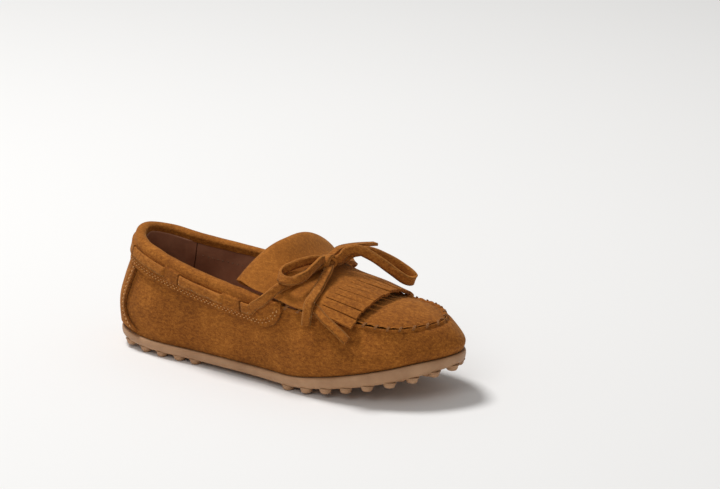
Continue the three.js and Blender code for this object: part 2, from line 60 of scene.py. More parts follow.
GAP = 0.3
STUD_HEIGHT = 2.6
STUD_PITCH = 10.8
STUD_SPREAD = 12.2
STUD_MARGIN = 3.8
SUEDE = 1.6
LINING = 1.0
BOARD_THICKNESS = 1.8
COLLAR_DROP = 13.0
COLLAR_FLAP = 2.4
COLLAR_END = 0.294
COLLAR_ROUNDING = 0.032
LACE_DROP = 6.0
LACE_WIDTH = 5.0
LACE_THICKNESS = 1.4
LACE_TUNNELS = ((-0.066, 0.066), (0.137, 0.16), (0.22, 0.243))
TUNNEL_RISE = 1.3
KILTIE_THICKNESS = 1.5
STRANDS = 12
STRAND_POINTS = 9
SLIT_WIDTH = 0.55
LOCK_PITCH = 2.3
SEAM_FROM = 0.3
WALL_LENGTH = 31
SOLE_PERIMETER = 480
KILTIE_HALF_WIDTH = 30.6
SEAM_STITCHES = 25

# The sole's edge and the upper's top edge, both from the back of the heel along the outer
# side to the toe and back along the inner side.
SOLE_EDGE = [
    (0, 0, 0), (6, -17.5, 0), (28, -25, 0), (60, -27, 0), (95, -30.5, 0), (127, -35.5, 0),
    (158, -32.5, 0), (181, -20.5, 0), (194.5, 3, 0), (184, 21, 0), (162, 30.5, 0),
    (133, 33, 0), (100, 28, 0), (62, 24.5, 0), (28, 24, 0), (6, 17, 0),
]
TOP_EDGE = [
    (9, 0, 60), (15.5, -13.2, 57.2), (35, -20.6, 52.6), (62, -27, 48.6), (92, -30.2, 44.8),
    (120, -30.2, 42), (147, -26, 39.5), (171, -21.5, 38.4), (183.7, 1.5, 38.3),
    (171, 22.8, 37.7), (147, 27.2, 38.9), (120, 29.5, 42), (92, 28, 44.8), (62, 25, 48.6),
    (35, 19.4, 52.6), (15.5, 12.8, 57.2),
]
# The kiltie and its fringe, from the fringe's tips back over the fold to the lower layer's
# front: centre line and the edge lines on the outer and the inner side.
KILTIE_CENTRE = [
    (152.6, 0, 46.4), (142, 0, 48.3), (130.7, 0, 50.2), (119, 0, 53.2), (109.5, 0, 59),
    (102.5, 0, 65.6), (98.2, 0, 68), (95, 0, 66), (96.5, 0, 63), (103.5, 0, 58.4),
    (112, 0, 52.4), (121, 0, 49), (130.6, 0, 47.9),
]
KILTIE_OUTER_EDGE = [
    (152, -31.2, 38.4), (142, -31.2, 40.9), (130.7, -31.2, 42.9), (119, -31.8, 44.2),
    (107, -31, 46.5), (94, -29.2, 48.3), (86, -27.2, 50.3), (82.5, -25.6, 49.4),
    (85, -24.4, 47.5), (94, -23.4, 45.6), (105, -22.8, 44.6), (117, -21.6, 45.9), (128.6, -20, 45.6),
]
KILTIE_INNER_EDGE = [
    (152, 30.4, 38.6), (142, 30.6, 41.2), (130.7, 30.6, 43.4), (119, 31, 45.2),
    (110, 30.2, 49.5), (104.5, 28.6, 56.5), (100.5, 27.6, 59.5), (98, 26.6, 58),
    (99, 25.4, 54.5), (102, 24, 49.5), (107, 22.8, 46.4), (117, 21.6, 45.9), (128.6, 20, 45.6),
]
# Straps: each point is x, y, z and then the direction of the strap's width.
OUTER_LEAD = [
    (97.5, -33.9, 41.2, -0.3, -0.2, 0.9), (102, -34.6, 44.2, -0.4, -0.2, 0.8),
    (105.8, -34.3, 47.6, -0.5, -0.4, 0.7), (109.4, -30.6, 51.4, -0.7, -0.4, 0.5),
    (112.6, -24.2, 53.2, -0.9, -0.1, 0.3), (114.8, -18.6, 55, -0.9, 0, 0.2),
    (116.2, -12.6, 56.3, -0.9, 0, 0.1), (117, -7.4, 57.3, -0.9, 0, 0.1), (118, -4.2, 57.6, -0.9, 0, 0.1),
]
INNER_LEAD = [
    (98, 33.7, 41.2, -0.3, 0.2, 0.9), (104.5, 34.2, 43.2, -0.4, 0.2, 0.8),
    (110.8, 34.4, 45.8, -0.5, 0.4, 0.7), (115.4, 32.3, 49.3, -0.7, 0.4, 0.5),
    (118, 26, 51.8, -0.9, 0.1, 0.3), (118.8, 19, 54.2, -0.9, 0, 0.2),
    (118.6, 12.4, 56, -0.9, 0, 0.1), (118, 7.2, 57.2, -0.9, 0, 0.1), (118.4, 4.2, 57.5, -0.9, 0, 0.1),
]
OUTER_LOOP = [
    (117.8, -4.4, 60.6, 0, 0.3, 0.9), (116, -7.4, 61.2, 0, 0.3, 0.9), (112.6, -12.5, 60.8, 0, 0.4, 0.9),
    (109.1, -18.4, 59.4, 0, 0.4, 0.9), (107.5, -23.2, 58, 0, 0.4, 0.9),
    (108.7, -27.8, 56.9, 0, 0.4, 0.9), (113, -30, 56.2, 0, 0.4, 0.9),
    (117.7, -28, 56.2, 0, 0.4, 0.9), (120, -22, 57.4, 0, 0.4, 0.9), (120.4, -15, 59.6, 0, 0.4, 0.9),
    (120.2, -8.4, 61.2, 0, 0.3, 0.9), (119.9, -4.6, 61, 0, 0.3, 0.9),
]
INNER_LOOP = [
    (122.2, 3.2, 59, -0.1, 0.2, 1), (123.9, 5.4, 60, -0.1, 0.2, 1), (125, 9, 62.6, -0.1, 0.2, 1),
    (128.7, 13, 63.2, -0.1, 0.2, 1), (133.7, 16.5, 60.4, 0, 0.2, 1), (139, 19.5, 56.4, 0.2, 0.2, 1),
    (144.4, 22.5, 51.8, 0.3, 0.2, 1), (149.2, 25, 48, 0.3, 0.2, 1), (151.8, 28, 46.6, 0.3, 0.2, 1),
    (151.6, 30.8, 47.4, 0.3, 0.2, 1), (148.4, 30.6, 50.2, 0.3, 0.2, 1), (141, 27.6, 55.2, 0.2, 0.2, 1),
    (132, 21.4, 60.4, 0, 0.2, 1), (126.6, 14.9, 61, -0.1, 0.2, 1), (123.4, 9.8, 59, -0.1, 0.2, 1),
    (122.4, 7, 58.2, -0.1, 0.2, 1), (121.6, 4.4, 57.9, -0.1, 0.2, 1),
]
OUTER_TAIL = [
    (122.2, -3.2, 57.4, 1, 0, 0), (123.6, -6.9, 56.2, 1, 0.1, 0), (125, -14, 53.4, 1, 0.2, -0.1),
    (126.8, -22.5, 50.4, 1, 0.3, -0.2), (128, -31, 47.4, 0.9, 0.4, -0.2),
    (128.5, -34.2, 41.8, 0.9, 0.4, -0.2), (128.7, -35.4, 37, 0.9, 0.4, -0.1),
]
INNER_TAIL = [
    (118.2, 4.4, 60, 1, -0.2, 0), (118, 7.4, 60.6, 1, -0.2, 0), (118.8, 14, 62.2, 1, -0.25, 0),
    (121.8, 23.5, 61.8, 1, -0.3, 0), (127, 34, 60.6, 1, -0.35, 0.05),
]
SPLAYED_STRAND = [
    (127, -28.6, 45.4, 0, 0.8, 0.5), (131.9, -30, 43.6, 0, 0.7, 0.6),
    (138, -32.8, 40.9, 0, 0.6, 0.7), (145, -34.2, 37.4, 0, 0.6, 0.7), (152, -35.2, 33.2, 0, 0.5, 0.8),
]


# Curves and surfaces

def unit(vectors):
    return vectors / np.maximum(np.linalg.norm(vectors, axis=-1, keepdims=True), 1e-9)


def mix(a, b, share):
    return a + (b - a) * share


def smoothstep(x, low, high):
    share = np.clip((x - low) / (high - low), 0, 1)
    return share * share * (3 - 2 * share)


def spline(p0, p1, p2, p3, share):
    share = share[..., None]
    start, end = (p2 - p0) / 2, (p3 - p1) / 2
    square = -3 * p1 + 3 * p2 - 2 * start - end
    cube = 2 * p1 - 2 * p2 + start + end
    return p1 + share * (start + share * (square + share * cube))


def curve_through(points, closed=False):
    """A smooth curve through points, as a function of 0 to 1."""
    points = np.array(points, float)
    spans = len(points) if closed else len(points) - 1
    if closed:
        knots = np.concatenate([points[-1:], points, points[:2]])
    else:
        knots = np.concatenate([[2 * points[0] - points[1]], points, [2 * points[-1] - points[-2]]])

    def at(t):
        place = (np.mod(t, 1.0) if closed else np.clip(t, 0, 1)) * spans
        span = np.minimum(np.floor(place).astype(int), spans - 1)
        return spline(*(knots[span + k] for k in range(4)), place - span)

    return at


sole_edge = curve_through(SOLE_EDGE, closed=True)
top_edge = curve_through(TOP_EDGE, closed=True)


def edge_inset(u, inset):
    u = np.asarray(u, float)
    along = unit(sole_edge(u + 1e-4) - sole_edge(u - 1e-4))
    inward = np.stack([-along[..., 1], along[..., 0], 0 * along[..., 0]], axis=-1)
    return sole_edge(u) + inward * np.broadcast_to(inset, u.shape)[..., None]


def sole_bottom(x):
    toe = np.maximum(0, (x - 116) / (194.5 - 116))
    heel = np.maximum(0, 1 - x / 30)
    return STUD_HEIGHT + 16 * toe ** 1.4 + 3.6 * heel ** 2


def sole_top(x):
    taper = 1.8 * smoothstep(x, 178, 196)
    return sole_bottom(x) + mix(5, 7, smoothstep(x, 90, 180)) - taper


def wall_face(u, v):
    """The outer face of the side wall: v is 0 at the sole and 1 at the top edge."""
    u, v = (np.array(a, float) for a in np.broadcast_arrays(u, v))
    foot = edge_inset(u, 1.2)
    toe = smoothstep(foot[..., 0], 160, 194)
    side = edge_inset(u, mix(1.3, -0.3, smoothstep(foot[..., 0], 0, 35)) + 0.9 * toe)
    top = top_edge(u)
    shoulder = mix(side, top, mix(0.72, 0.48, toe)[..., None])
    base = sole_top(foot[..., 0]) + GAP
    rise = top[..., 2] - base
    foot[..., 2] = base
    side[..., 2] = base + 0.36 * rise
    shoulder[..., 2] = base + 0.78 * rise
    knots = np.stack([2 * foot - side, foot, side, shoulder, top, 2 * top - shoulder])
    place = np.clip(v, 0, 1) * 3
    span = np.minimum(np.floor(place).astype(int), 2)
    picked = (np.take_along_axis(knots, (span + k)[None, ..., None], 0)[0] for k in range(4))
    return spline(*picked, place - span)


def wall_normal(u, v):
    along = wall_face(u + 0.002, v) - wall_face(u - 0.002, v)
    up = wall_face(u, np.minimum(1, v + 0.01)) - wall_face(u, np.maximum(0, v - 0.01))
    return unit(np.cross(along, up))


def wall_offset(u, v, distance):
    distance = np.broadcast_to(distance, np.broadcast(u, v, distance).shape)
    return wall_face(u, v) + wall_normal(u, v) * distance[..., None]


def wall_at_drop(u, drop):
    """The v at which the wall is the given height below its top edge."""
    u, drop = (np.array(a, float) for a in np.broadcast_arrays(u, drop))
    target = top_edge(u)[..., 2] - drop
    low, high = np.zeros_like(u), np.ones_like(u)
    for _ in range(14):
        middle = (low + high) / 2
        below = wall_face(u, middle)[..., 2] < target
        low, high = np.where(below, middle, low), np.where(below, high, middle)
    return high


def wall_up(u):
    return unit(wall_face(u, 1.0) - wall_face(u, 0.97))


def even_steps(place, start, end, pitch):
    """Values from start to end whose points place(value) are pitch apart along the curve."""
    values = np.linspace(start, end, 1500)
    points = place(values)
    length = np.concatenate([[0], np.cumsum(np.linalg.norm(np.diff(points, axis=0), axis=1))])
    count = max(2, round(length[-1] / pitch))
    return np.interp(np.linspace(0, length[-1], count + 1), length, values)


def grid(rows, columns):
    return np.meshgrid(rows, columns, indexing="ij")


def ripple(points, size, seed):
    """Smooth unevenness from -1 to 1, with waves of about the given size."""
    draw = np.random.default_rng(seed)
    total = np.zeros(points.shape[:-1])
    for _ in range(9):
        direction = unit(draw.normal(size=3)) * 2 * math.pi / (size * draw.uniform(0.7, 1.5))
        total += np.sin(points @ direction + draw.uniform(0, 2 * math.pi))
    return total / 4.5


# Meshes

def frame_point(x, y, z):
    """A point of the shoe's own frame, in metres in the CAD's frame."""
    return tuple((np.array([x, y, z]) + SHIFT) * MM)


def add_piece(name, points, faces, material, body, painted_light_and_mottle=None, bevel=0.0):
    """A mesh object from points in millimetres. The per-vertex attribute darkens (-1) or lightens (+1) it
    in places: painted shade and painted highlights, and on the side wall also some random mottling.
    """
    mesh = bpy.data.meshes.new(name)
    mesh.from_pydata(((points + SHIFT) * MM).tolist(), [], faces)
    if painted_light_and_mottle is not None:
        layer = mesh.attributes.new("painted_light_and_mottle", "FLOAT", "POINT")
        layer.data.foreach_set("value", np.asarray(painted_light_and_mottle, float).ravel())
    mesh.validate()
    mesh.shade_smooth()
    mesh.materials.append(material)
    piece = bpy.data.objects.new(name, mesh)
    bpy.context.scene.collection.objects.link(piece)
    if bevel:
        modifier = piece.modifiers.new("edges", "BEVEL")
        modifier.width = bevel * MM
        modifier.segments = 2
        modifier.limit_method = "ANGLE"
        modifier.angle_limit = math.radians(50)
        modifier.use_clamp_overlap = True
        settle(piece)
    if body:
        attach(piece, body)
    return piece


def settle(piece):
    """Applies a piece's modifiers to its mesh."""
    evaluated = piece.evaluated_get(bpy.context.evaluated_depsgraph_get())
    old = piece.data
    mesh = bpy.data.meshes.new_from_object(evaluated)
    piece.modifiers.clear()
    piece.data = mesh
    bpy.data.meshes.remove(old)
    mesh.name = piece.name
    mesh.shade_smooth()


def slab_faces(rows, columns, mask=None, ring=False):
    """Quads of a closed slab whose outer grid comes first and inner grid second."""
    size = rows * columns
    row, column = grid(np.arange(rows if ring else rows - 1), np.arange(columns - 1))
    if mask is not None:
        row, column = row[mask], column[mask]
    row, column = row.ravel(), column.ravel()
    after = (row + 1) % rows
    corners = np.stack([
        row * columns + column, after * columns + column,
        after * columns + column + 1, row * columns + column + 1,
    ], axis=1)
    edges = np.stack([corners, np.roll(corners, -1, axis=1)], axis=2).reshape(-1, 2)
    known = set(map(tuple, edges.tolist()))
    walls = [(b, a, a + size, b + size) for a, b in known if (b, a) not in known]
    return corners.tolist() + (corners[:, ::-1] + size).tolist() + sorted(walls)


def turned_out(points, faces):
    """The faces, all turned over if they enclose a negative volume."""
    corner = points[np.array([face[:3] for face in faces])]
    volume = np.einsum("ij,ij->i", corner[:, 0], np.cross(corner[:, 1], corner[:, 2])).sum()
    return faces if volume > 0 else [list(face)[::-1] for face in faces]


def slab(name, outer, inner, material, body="shoe", mask=None, ring=False, painted_light_and_mottle=None, bevel=0.0):
    """A sheet of leather between two grids of points."""
    rows, columns = outer.shape[:2]
    points = np.concatenate([outer.reshape(-1, 3), inner.reshape(-1, 3)])
    faces = turned_out(points, slab_faces(rows, columns, mask, ring))
    used = np.unique(np.concatenate([np.ravel(face) for face in faces]))
    place = np.zeros(len(points), int)
    place[used] = np.arange(len(used))
    faces = [[int(place[i]) for i in face] for face in faces]
    if painted_light_and_mottle is not None:
        painted_light_and_mottle = np.concatenate([painted_light_and_mottle.ravel(), painted_light_and_mottle.ravel()])[used]
    return add_piece(name, points[used], faces, material, body, painted_light_and_mottle, bevel)


def tube_faces(rows, sides, start=0):
    """Quads of tubes of the given rows, and a face over each end."""
    faces = []
    for row in range(rows - 1):
        for side in range(sides):
            after = (side + 1) % sides
            faces.append([start + row * sides + side, start + row * sides + after,
                          start + (row + 1) * sides + after, start + (row + 1) * sides + side])
    last = start + (rows - 1) * sides
    faces.append([start + side for side in reversed(range(sides))])
    faces.append([last + side for side in range(sides)])
    return faces


def lace_section(width, thickness):
    """Outline of a flat lace: straight faces and rounded edges."""
    half_width, half = width / 2, thickness / 2
    edge = 0.45 * half
    upper = [
        (-half_width, 0), (-half_width + 0.3 * edge, 0.7 * half), (-half_width + edge, half),
        (-0.45 * width, 1.02 * half), (-0.2 * width, 1.06 * half), (0.2 * width, 1.06 * half),
        (0.45 * width, 1.02 * half), (half_width - edge, half), (half_width - 0.3 * edge, 0.7 * half),
    ]
    lower = [(-across, -lift) for across, lift in upper]
    return np.array(upper + lower)


def strap_mesh(points, across, width=LACE_WIDTH, thickness=LACE_THICKNESS):
    """Vertices of a flat strap along centre points, and a painted highlight along the strap's edges."""
    ahead = unit(np.gradient(points, axis=0))
    flat = unit(across - ahead * np.sum(across * ahead, axis=1, keepdims=True))
    up = np.cross(ahead, flat)
    section = lace_section(width, thickness)
    wander = 1 + 0.04 * ripple(points, 9, 5)
    spread = section[None, :, 0] * wander[:, None]
    grid_points = (points[:, None] + flat[:, None] * spread[..., None]
                   + up[:, None] * section[None, :, 1, None])
    # Painted highlight: the strap's rounded edges are made paler, as if catching the light.
    edge = np.abs(section[:, 0]) > 0.46 * width
    painted_light_and_mottle = np.broadcast_to(np.where(edge, 0.55, 0.0), grid_points.shape[:2])
    return grid_points, painted_light_and_mottle


def strap(name, points, across, material, body, **size):
    vertices, painted_light_and_mottle = strap_mesh(points, across, **size)
    rows, sides = vertices.shape[:2]
    vertices = vertices.reshape(-1, 3)
    faces = turned_out(vertices, tube_faces(rows, sides))
    return add_piece(name, vertices, faces, material, body, painted_light_and_mottle)


def strap_route(stations, step=0.5):
    """Centre points and width directions along stations of x, y, z and the width's direction."""
    stations = np.array(stations, float)
    centre, across = curve_through(stations[:, :3]), curve_through(stations[:, 3:])
    places = even_steps(centre, 0, 1, step)
    return centre(places), across(places)


def stitch_mesh(starts, ends, normals, radius, height):
    """Short lengths of thread, each an arch from its start to its end."""
    sides = 8
    shares = np.array([0, 0.12, 0.3, 0.5, 0.7, 0.88, 1])
    angle = np.linspace(0, 2 * math.pi, sides, endpoint=False)
    along = unit(ends - starts)
    side = np.cross(normals, along)
    lift = height * np.sin(math.pi * shares) ** 0.7 - 0.35 * np.abs(2 * shares - 1) ** 4
    girth = radius * np.array([0.6, 0.92, 1, 1.02, 1, 0.92, 0.6])
    centre = (starts[:, None] + (ends - starts)[:, None] * shares[:, None]
              + normals[:, None] * lift[:, None])
    ring = (side[:, None, None] * np.cos(angle)[:, None] + normals[:, None, None] * np.sin(angle)[:, None])
    vertices = centre[:, :, None] + ring * girth[:, None, None]
    faces = []
    for i in range(len(starts)):
        faces += tube_faces(len(shares), sides, i * len(shares) * sides)
    return vertices.reshape(-1, 3), faces


def stitches(name, runs, material, body="shoe"):
    """One piece from several runs of stitches, each its vertices and faces."""
    vertices, faces = [], []
    for run_vertices, run_faces in runs:
        start = sum(len(part) for part in vertices)
        vertices.append(run_vertices)
        faces += [[start + i for i in face] for face in run_faces]
    vertices = np.concatenate(vertices)
    return add_piece(name, vertices, turned_out(vertices, faces), material, body)


def lock_run(place, normal, start, end, pitch=LOCK_PITCH, length=1.6, radius=0.3):
    """A row of lock stitches along the curve place(value)."""
    values = even_steps(place, start, end, pitch)
    step = (values[1] - values[0]) * length / pitch / 2
    middle = (values[:-1] + values[1:]) / 2
    return stitch_mesh(place(middle - step), place(middle + step), normal(middle), radius, 0.14)


# Materials

class Nodes:
    """A short way to write a material's nodes."""

    def __init__(self, name):
        self.material = bpy.data.materials.new(name)
        self.material.use_nodes = True
        self.tree = self.material.node_tree
        self.shader = self.tree.nodes["Principled BSDF"]
        self.where = self.add("ShaderNodeTexCoord").outputs["Object"]

    def add(self, kind, **settings):
        """A node; each setting goes to the input of that name, or else to the node itself."""
        node = self.tree.nodes.new(kind)
        for key, value in settings.items():
            socket = node.inputs.get(key.title())
            if socket is None:
                setattr(node, key, value)
            else:
                self.feed(socket, value)
        return node

    def feed(self, socket, value):
        if isinstance(value, bpy.types.NodeSocket):
            self.tree.links.new(value, socket)
        else:
            socket.default_value = value

    def noise(self, size, detail=3.0, roughness=0.55, where=None):
        """Noise from 0 to 1 whose features are about size millimetres across."""
        node = self.add("ShaderNodeTexNoise", vector=where or self.where, scale=1 / (size * MM),
                        detail=detail, roughness=roughness)
        return node.outputs["Fac"]

    def stretched(self, factors):
        return self.add("ShaderNodeMapping", vector=self.where, scale=factors).outputs["Vector"]

    def math(self, operation, a, b=0.0, c=0.0):
        node = self.add("ShaderNodeMath", operation=operation)
        for socket, value in zip(node.inputs, (a, b, c)):
            self.feed(socket, value)
        return node.outputs[0]

    def ramp(self, factor, stops):
        node = self.add("ShaderNodeValToRGB", fac=factor)
        elements = node.color_ramp.elements
        while len(elements) < len(stops):
            elements.new(0.5)
        for element, (place, colour) in zip(elements, stops):
            element.position = place
            element.color = (*colour, 1)
        return node.outputs["Color"]

    def mix(self, factor, a, b, kind="MIX"):
        node = self.add("ShaderNodeMix", data_type="RGBA", blend_type=kind)
        for socket, value in zip((node.inputs[0], node.inputs[6], node.inputs[7]), (factor, a, b)):
            self.feed(socket, value)
        return node.outputs[2]

    def attribute(self, name):
        return self.add("ShaderNodeAttribute", attribute_name=name).outputs["Fac"]

    def bumps(self, *layers):
        """Bump layers of (height, strength, depth in millimetres), one over the other."""
        normal = None
        for height, strength, depth in layers:
            node = self.add("ShaderNodeBump", height=height, strength=strength, distance=depth * MM)
            if normal is not None:
                self.feed(node.inputs["Normal"], normal)
            normal = node.outputs["Normal"]
        self.feed(self.shader.inputs["Normal"], normal)

    def finish(self, **values):
        for key, value in values.items():
            self.feed(self.shader.inputs[key.replace("_", " ")], value)
        return self.material


def suede_material(name, dark, middle, light):
    """Napped suede: mottled patches, brushed streaks and short fibres. Where the per-vertex attribute says
    so it is paler with painted highlights on raised edges and lit slopes, and darker with painted shade in
    hollows and joints.
    """
    n = Nodes(name)
    patches = n.noise(16, 3, 0.5)
    brushed = n.noise(1.5, 4, 0.7, n.stretched((0.7, 1.0, 1.3)))
    fibres = n.noise(0.42, 3, 0.7)
    blotches = n.math("ADD", n.math("MULTIPLY", patches, 0.3), n.math("MULTIPLY", brushed, 0.7))
    speckle = n.math("ADD", n.math("MULTIPLY", blotches, 0.6), n.math("MULTIPLY", fibres, 0.4))
    colour = n.ramp(speckle, [(0.38, dark), (0.5, middle), (0.62, light)])
    # The per-vertex attribute paints light: above 0 it mixes in the light colour as a painted highlight,
    # below 0 it darkens the colour as painted shade (with a little random mottling on the side wall).
    painted_light_and_mottle = n.attribute("painted_light_and_mottle")
    painted_highlight_colour = n.mix(n.math("MULTIPLY", n.math("MAXIMUM", painted_light_and_mottle, 0.0), 0.55), colour, (*light, 1))
    shade = n.math("ADD", 1.0, n.math("MINIMUM", painted_light_and_mottle, 0.0))
    tint = n.add("ShaderNodeCombineXYZ", x=shade, y=shade, z=shade).outputs[0]
    colour = n.mix(1.0, painted_highlight_colour, tint, "MULTIPLY")
    n.bumps((brushed, 0.35, 0.35), (fibres, 0.55, 0.22))
    return n.finish(Base_Color=colour, Roughness=n.math("MULTIPLY_ADD", fibres, 0.12, 0.86),
                    Specular_IOR_Level=0.18, Sheen_Weight=0.22, Sheen_Roughness=0.4,
                    Sheen_Tint=(1.0, 0.6, 0.25, 1))


def rubber_material():
    """Gum rubber: faint clouding, fine moulded grain and small dark specks of dust scattered all over."""
    n = Nodes("gum_rubber")
    clouds = n.noise(14, 4, 0.6)
    grain = n.noise(0.5, 3, 0.6)
    colour = n.ramp(clouds, [(0.35, (0.36, 0.19, 0.092)), (0.65, (0.46, 0.26, 0.135))])
    specks = n.ramp(n.noise(0.9, 2), [(0.66, (0, 0, 0)), (0.72, (1, 1, 1))])
    colour = n.mix(n.math("MULTIPLY", specks, 0.18), colour, (0.16, 0.08, 0.04, 1))
    n.bumps((clouds, 0.12, 1.2), (grain, 0.3, 0.12))
    return n.finish(Base_Color=colour, Roughness=n.math("MULTIPLY_ADD", grain, 0.2, 0.42),
                    Specular_IOR_Level=0.42, Subsurface_Weight=0.08, Subsurface_Scale=0.002,
                    Subsurface_Radius=(1.0, 0.5, 0.25))


def lining_material():
    """Smooth lining leather with pores, fine creases and worn patches."""
    n = Nodes("lining_leather")
    wear = n.noise(13, 4, 0.6)
    cells = n.add("ShaderNodeTexVoronoi", feature="DISTANCE_TO_EDGE", vector=n.where,
                  scale=1 / (0.8 * MM)).outputs["Distance"]
    creases = n.noise(2.6, 4, 0.6)
    colour = n.ramp(wear, [(0.34, (0.24, 0.09, 0.045)), (0.66, (0.36, 0.15, 0.078))])
    n.bumps((creases, 0.25, 0.4), (cells, 0.22, 0.12))
    return n.finish(Base_Color=colour, Roughness=n.math("MULTIPLY_ADD", wear, 0.25, 0.4),
                    Specular_IOR_Level=0.4)


def thread_material(name, dark, light):
    """Waxed thread, twisted from fine plies."""
    n = Nodes(name)
    plies = n.add("ShaderNodeTexWave", vector=n.stretched((1.0, 1.0, 1.3)), scale=1 / (1.6 * MM),
                  distortion=1.5, bands_direction="DIAGONAL").outputs["Fac"]
    hairs = n.noise(0.35, 3, 0.7)
    colour = n.ramp(n.math("MULTIPLY_ADD", plies, 0.6, n.math("MULTIPLY", hairs, 0.4)),
                    [(0.2, dark), (0.75, light)])
    n.bumps((plies, 0.6, 0.15), (hairs, 0.4, 0.06))
    return n.finish(Base_Color=colour, Roughness=n.math("MULTIPLY_ADD", hairs, 0.25, 0.45),
                    Specular_IOR_Level=0.2, Sheen_Weight=0.06,
                    Sheen_Tint=(1.0, 0.7, 0.4, 1))


def board_material():
    """Pressed fibre board: pale, with darker flecks."""
    n = Nodes("fibre_board")
    fibres = n.noise(1.1, 4, 0.7, n.stretched((0.4, 1.0, 1.0)))
    colour = n.ramp(fibres, [(0.3, (0.22, 0.15, 0.08)), (0.6, (0.42, 0.32, 0.2))])
    n.bumps((fibres, 0.4, 0.15))
    return n.finish(Base_Color=colour, Roughness=n.math("MULTIPLY_ADD", fibres, 0.2, 0.75))


def foam_material():
    """Open-cell foam, pocked all over."""
    n = Nodes("foam")
    cells = n.add("ShaderNodeTexVoronoi", vector=n.where, scale=1 / (0.9 * MM)).outputs["Distance"]
    colour = n.ramp(cells, [(0.1, (0.45, 0.36, 0.22)), (0.6, (0.74, 0.64, 0.44))])
    n.bumps((cells, 0.6, 0.3))
    return n.finish(Base_Color=colour, Roughness=n.math("MULTIPLY_ADD", cells, 0.1, 0.85))


def floor_material():
    """Plain matt paper."""
    n = Nodes("paper_floor")
    colour = n.ramp(n.noise(400, 1), [(0.3, (0.86, 0.853, 0.842)), (0.7, (0.866, 0.859, 0.848))])
    return n.finish(Base_Color=colour, Roughness=n.math("MULTIPLY_ADD", n.noise(400, 1), 0.02, 0.9),
                    Specular_IOR_Level=0.0)


SUEDE_LOOK = suede_material("suede", (0.145, 0.04, 0.005), (0.285, 0.09, 0.011), (0.48, 0.174, 0.027))
LACE_LOOK = suede_material("lace_suede", (0.18, 0.052, 0.007), (0.33, 0.11, 0.016), (0.51, 0.195, 0.036))
RUBBER_LOOK = rubber_material()
LINING_LOOK = lining_material()
THREAD_LOOK = thread_material("thread", (0.4, 0.17, 0.05), (0.85, 0.47, 0.19))
SEAM_LOOK = thread_material("seam_thread", (0.11, 0.036, 0.01), (0.42, 0.18, 0.055))
LINING_THREAD_LOOK = thread_material("lining_thread", (0.16, 0.07, 0.035), (0.4, 0.21, 0.12))
BOARD_LOOK = board_material()
FOAM_LOOK = foam_material()


# Sole

SOLE_SECTION = [
    (6, 0.0), (2.4, 0.0), (1.5, 0.02), (0.8, 0.1), (0.3, 0.25), (0.06, 0.45), (0, 0.62),
    (0.02, 0.78), (0.16, 0.9), (0.45, 0.98), (0.9, 1.0), (4, 1.0),
]


def stud_mesh(x, y, sides=28):
    """A round stud, standing out of the sole's bottom."""
    profile = np.array([
        (0.01, -2.6), (1.2, -2.6), (1.9, -2.55), (2.35, -2.36), (2.68, -2.0), (2.9, -1.45),
        (3.02, -0.9), (3.1, -0.45), (3.25, -0.12), (3.55, 0.06), (3.6, 0.5),
    ])
    angle = np.linspace(0, 2 * math.pi, sides, endpoint=False)
    rings = np.stack([
        x + profile[:, :1] * np.cos(angle), y + profile[:, :1] * np.sin(angle),
        sole_bottom(x) + np.repeat(profile[:, 1:], sides, axis=1),
    ], axis=-1)
    return rings.reshape(-1, 3), tube_faces(len(profile), sides)


def edge_at(x, inner_side):
    """The y of the sole's edge at a station x."""
    u = np.linspace(0, 0.5, 800)
    edge = edge_inset(1 - u if inner_side else u, 0.0)
    return float(np.interp(x, edge[:, 0], edge[:, 1]))


def stud_row(x, margin):
    start, end = edge_at(x, False) + margin, edge_at(x, True) - margin
    steps = max(1, round((end - start) / STUD_SPREAD))
    return [(x, mix(start, end, i / steps)) for i in range(steps + 1)]


def stud_places():
    """Stud rows across the heel and the forepart, and a row along the edge round the forepart."""
    places = [place for x in (12, 23, 34, 45, 55) for place in stud_row(x, STUD_MARGIN)]
    for x in np.arange(115, 180, STUD_PITCH):
        places += stud_row(x, STUD_MARGIN + STUD_SPREAD)
    last = np.zeros(3)
    for point in edge_inset(np.linspace(0.24, 0.76, 400), STUD_MARGIN):
        if point[0] >= 115 and np.linalg.norm(point - last) >= STUD_PITCH:
            places.append((point[0], point[1]))
            last = point
    return places


def sole():
    inset, level = np.array(SOLE_SECTION).T
    rows = np.linspace(0, 0.5, 240)
    between = np.linspace(0, 1, 12)[1:-1]

    def side(u):
        points = edge_inset(u[:, None] + 0 * inset, inset)
        low, high = sole_bottom(points[..., 0]), sole_top(points[..., 0])
        points[..., 2] = mix(low, high, level)
        return points

    def across(start, end, height):
        points = start[:, None] + (end - start)[:, None] * between[:, None]
        points[..., 2] = height(points[..., 0])
        return points

    outer, inner = side(rows), side(1 - rows)
    loop = np.concatenate([
        outer, across(outer[:, -1], inner[:, -1], sole_top), inner[:, ::-1],
        across(inner[:, 0], outer[:, 0], sole_bottom),
    ], axis=1)
    vertices = loop.reshape(-1, 3)
    faces = turned_out(vertices, tube_faces(*loop.shape[:2])[:-2])
    for x, y in stud_places():
        stud, stud_faces = stud_mesh(x, y)
        start = len(vertices)
        faces += [[start + i for i in face] for face in turned_out(stud, stud_faces)]
        vertices = np.concatenate([vertices, stud])
    piece = add_piece("rubber_sole", vertices, faces, RUBBER_LOOK, "shoe")
    weld(piece)
    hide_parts("outsole")


def weld(piece):
    """Merges vertices that lie on each other and drops faces with no area."""
    modifier = piece.modifiers.new("weld", "WELD")
    modifier.merge_threshold = 2e-6
    settle(piece)


def bed_height(x):
    return sole_top(x) + 2 * GAP + BOARD_THICKNESS


def heel_share(points):
    return np.maximum(0, 1 - ((points[..., 0] - 36) / 34) ** 2 - (points[..., 1] / 19) ** 2)


